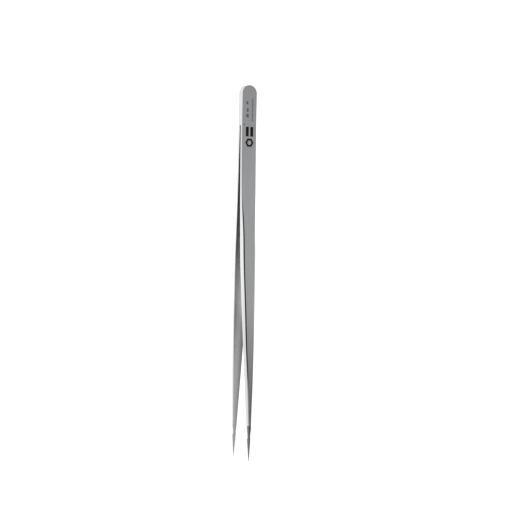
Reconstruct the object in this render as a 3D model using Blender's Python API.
"""Precision tweezers: two slender steel arms welded over a thin spacer at the tail.

Metres, +Z up. The tweezers lie on the long lower edges of their arms, as they are put
down on a bench. +X points to the tail, the needle tips point to -X and the two arms lie
side by side along Y, front arm at -Y. The origin is on the bench, under the middle of
the length.

Each arm is one blade that bends. It is modelled as three solids: a tail that is welded
to the spacer, a spring that bends, and a stiff leg that swings about the upright axis
through the middle of the spring.
"""

import math

import bmesh
import bpy
from mathutils import Vector

MM = 0.001

# Overall sizes. Distances along an arm are measured from the end of its tail.
LENGTH = 140.0 * MM
BLADE_WIDTH = 6.1 * MM
TIP_OPENING = 11.8 * MM

# Tail, where the arms are welded to the spacer.
WELD_LENGTH = 15.0 * MM
TAIL_GAP = 0.7 * MM
TAIL_FLAT = 0.5 * MM
SPACER_INSET = 0.04 * MM

# How the arms bow apart: their slope where they leave the spacer, and where they
# become straight.
ROOT_SLOPE = 0.013
BOW_END = 70.0 * MM

# Blade thickness, thin at the tail and springing end, thick along the leg.
TAIL_THICKNESS = 1.0 * MM
LEG_THICKNESS = 1.5 * MM
SWELL_START = 38.0 * MM
SWELL_END = 62.0 * MM

# Width taper from the full blade down to the neck, where the needle is ground.
TAPER_START = 62.0 * MM
TAPER_POWER = 1.3
NECK_LENGTH = 3.4 * MM
NECK_WIDTH = 1.55 * MM
NECK_THICKNESS = 1.1 * MM
THINNING_LENGTH = 18.0 * MM

# The needle, from its root to its point.
NEEDLE_LENGTH = 8.8 * MM
NEEDLE_ROOT_WIDTH = 1.3 * MM
NEEDLE_ROOT_THICKNESS = 1.05 * MM
NEEDLE_POWER = 1.05
TIP_WIDTH = 0.12 * MM
TIP_THICKNESS = 0.12 * MM
NEEDLE_START = LENGTH - NEEDLE_LENGTH
NECK_START = NEEDLE_START - NECK_LENGTH

# Bevel along both long edges of an arm's outer face.
EDGE_BREAK = 0.12 * MM
BEVEL_WIDTH = 0.6 * MM
BEVEL_DEPTH = 0.4 * MM
BEVEL_WIDTH_SHARE = 0.33
BEVEL_DEPTH_SHARE = 0.3

# Where each arm is divided, the flexing axis, and the clearances between solids.
SPRING_PAST_WELD = 1.0 * MM
SPRING_START = WELD_LENGTH + SPRING_PAST_WELD
SPRING_LENGTH = 38.0 * MM
SPRING_END = SPRING_START + SPRING_LENGTH
FLEX_AT = SPRING_START + SPRING_LENGTH / 2
DIVISION_CLEARANCE = 0.3 * MM
WELD_CLEARANCE = 0.05 * MM

# Fineness of the faceted solids.
ROUND_STEPS = 10
TAIL_STEPS = 3
SPRING_STEPS = 12
LEG_STEPS = 28
NECK_STEPS = 4
NEEDLE_STEPS = 6

STEEL = (0.52, 0.52, 0.53)
SPACER_STEEL = (0.38, 0.38, 0.39)

FRONT = -1
REAR = 1


def clear_scene():
    """Remove every object that the scene starts with."""
    for obj in list(bpy.data.objects):
        bpy.data.objects.remove(obj, do_unlink=True)


def eased(value, start, end):
    """0 before start, 1 after end, and a smooth rise between them."""
    share = min(max((value - start) / (end - start), 0.0), 1.0)
    return share * share * (3.0 - 2.0 * share)


def to_x(along):
    """X of a point that lies this far along the arm from the tail's end."""
    return LENGTH / 2 - along


def half_gap(along):
    """Distance from the middle plane to an arm's inner face."""
    bow = BOW_END - WELD_LENGTH
    rise = TIP_OPENING / 2 - TAIL_GAP / 2 - ROOT_SLOPE * bow / 2
    leg_slope = rise / (bow / 2 + LENGTH - BOW_END)
    past = max(along - WELD_LENGTH, 0.0)
    bowed = min(past, bow)
    curve = ROOT_SLOPE * bowed + (leg_slope - ROOT_SLOPE) * bowed**2 / (2 * bow)
    return TAIL_GAP / 2 + curve + leg_slope * (past - bowed)


def needle_size(root, tip, along):
    """A needle's size across, from its root to its point."""
    share = (along - NEEDLE_START) / NEEDLE_LENGTH
    return root - (root - tip) * share**NEEDLE_POWER


def thickness(along):
    """Blade thickness, from inner face to outer face."""
    if along >= NEEDLE_START:
        return needle_size(NEEDLE_ROOT_THICKNESS, TIP_THICKNESS, along)
    if along >= NECK_START:
        cut = eased(along, NECK_START, NEEDLE_START)
        return NECK_THICKNESS - (NECK_THICKNESS - NEEDLE_ROOT_THICKNESS) * cut
    swell = eased(along, SWELL_START, SWELL_END)
    thinned = eased(along, NECK_START - THINNING_LENGTH, NECK_START)
    full = TAIL_THICKNESS + (LEG_THICKNESS - TAIL_THICKNESS) * swell
    return full - (full - NECK_THICKNESS) * thinned


def width(along):
    """Blade width: a round tail, a long parallel stretch, a taper, a neck and a needle."""
    radius = BLADE_WIDTH / 2
    if along < radius:
        return max(TAIL_FLAT, 2 * math.sqrt(radius**2 - (radius - along) ** 2))
    if along >= NEEDLE_START:
        return needle_size(NEEDLE_ROOT_WIDTH, TIP_WIDTH, along)
    if along >= NECK_START:
        cut = eased(along, NECK_START, NEEDLE_START)
        return NECK_WIDTH - (NECK_WIDTH - NEEDLE_ROOT_WIDTH) * cut
    share = max(along - TAPER_START, 0.0) / (NECK_START - TAPER_START)
    return BLADE_WIDTH - (BLADE_WIDTH - NECK_WIDTH) * share**TAPER_POWER


def bevel_size(along):
    """Width and depth of the outer bevels, which fade to an edge break at the tail."""
    grown = eased(along, SWELL_START, SWELL_END)
    wide = EDGE_BREAK + (BEVEL_WIDTH - EDGE_BREAK) * grown
    deep = EDGE_BREAK + (BEVEL_DEPTH - EDGE_BREAK) * grown
    return (
        min(wide, BEVEL_WIDTH_SHARE * width(along)),
        min(deep, BEVEL_DEPTH_SHARE * thickness(along)),
    )


def arm_section(side, along):
    """The six corners of an arm's section, in order around it."""
    half = width(along) / 2
    wide, deep = bevel_size(along)
    inner = half_gap(along)
    outer = inner + thickness(along)
    corners = [(inner, -half), (outer - deep, -half), (outer, wide - half)]
    corners += [(y, -z) for y, z in reversed(corners)]
    return [Vector((to_x(along), side * y, BLADE_WIDTH / 2 + z)) for y, z in corners]


def even_steps(start, end, count):
    """count + 1 places from start to end."""
    return [start + (end - start) * step / count for step in range(count + 1)]


def round_end_steps(radius):
    """Places along a half-round end, closer together towards its crown."""
    turns = even_steps(0.0, math.pi / 2, ROUND_STEPS)
    return [radius * (1 - math.cos(turn)) for turn in turns]


def steel(name, colour, roughness):
    """A plain steel material."""
    material = bpy.data.materials.new(name)
    material.use_nodes = True
    shader = material.node_tree.nodes["Principled BSDF"]
    shader.inputs["Base Color"].default_value = (*colour, 1.0)
    shader.inputs["Metallic"].default_value = 1.0
    shader.inputs["Roughness"].default_value = roughness
    return material


def ring_edges(bm, points):
    """A closed loop of edges through the points."""
    verts = [bm.verts.new(point) for point in points]
    return [bm.edges.new(pair) for pair in zip(verts, verts[1:] + verts[:1])]


def loft(name, rings, origin, material):
    """A closed solid through rings of equally many points, with its own origin."""
    bm = bmesh.new()
    loops = [ring_edges(bm, [point - origin for point in ring]) for ring in rings]
    for near, far in zip(loops, loops[1:]):
        bmesh.ops.bridge_loops(bm, edges=near + far)
    for end in (loops[0], loops[-1]):
        bmesh.ops.contextual_create(bm, geom=end)
    bmesh.ops.recalc_face_normals(bm, faces=bm.faces)
    mesh = bpy.data.meshes.new(name)
    bm.to_mesh(mesh)
    bm.free()
    mesh.materials.append(material)
    obj = bpy.data.objects.new(name, mesh)
    obj.location = origin
    bpy.context.scene.collection.objects.link(obj)
    return obj


def flexing_axis(side):
    """A point on an arm's upright flexing axis, in the middle of the spring."""
    middle = half_gap(FLEX_AT) + thickness(FLEX_AT) / 2
    return Vector((to_x(FLEX_AT), side * middle, 0.0))


def build_arm(label, side):
    """One arm, as its welded tail, its bending spring and its swinging leg."""
    half_cut = DIVISION_CLEARANCE / 2
    radius = BLADE_WIDTH / 2
    tail_stops = round_end_steps(radius)
    tail_stops += even_steps(radius, SPRING_START - half_cut, TAIL_STEPS)[1:]
    spring_stops = even_steps(SPRING_START + half_cut, SPRING_END - half_cut, SPRING_STEPS)
    leg_stops = even_steps(SPRING_END + half_cut, NECK_START, LEG_STEPS)
    leg_stops += even_steps(NECK_START, NEEDLE_START, NECK_STEPS)[1:]
    leg_stops += even_steps(NEEDLE_START, LENGTH, NEEDLE_STEPS)[1:]
    pieces = (
        ("tail", tail_stops, Vector((to_x(0.0), 0.0, 0.0)), 0.34),
        ("spring", spring_stops, Vector((to_x(SPRING_START), 0.0, 0.0)), 0.32),
        ("leg", leg_stops, flexing_axis(side), 0.30),
    )
    for piece, stops, origin, roughness in pieces:
        name = f"{label}_arm_{piece}"
        rings = [arm_section(side, along) for along in stops]
        loft(name, rings, origin, steel(name, STEEL, roughness))


def build_spacer():
    """The thin plate between the arms, a little inside their outline all round."""
    half = TAIL_GAP / 2 - WELD_CLEARANCE
    radius = BLADE_WIDTH / 2 - SPACER_INSET
    stops = round_end_steps(radius) + [WELD_LENGTH - SPACER_INSET]
    rings = []
    for along in stops:
        into_round = radius - min(along, radius)
        reach = max(TAIL_FLAT / 2, math.sqrt(radius**2 - into_round**2))
        x = to_x(along + SPACER_INSET)
        corners = ((-half, -reach), (half, -reach), (half, reach), (-half, reach))
        rings.append([Vector((x, y, BLADE_WIDTH / 2 + z)) for y, z in corners])
    origin = Vector((to_x(SPACER_INSET), 0.0, 0.0))
    loft("tail_spacer", rings, origin, steel("tail_spacer", SPACER_STEEL, 0.5))


clear_scene()
build_spacer()
build_arm("front", FRONT)
build_arm("rear", REAR)
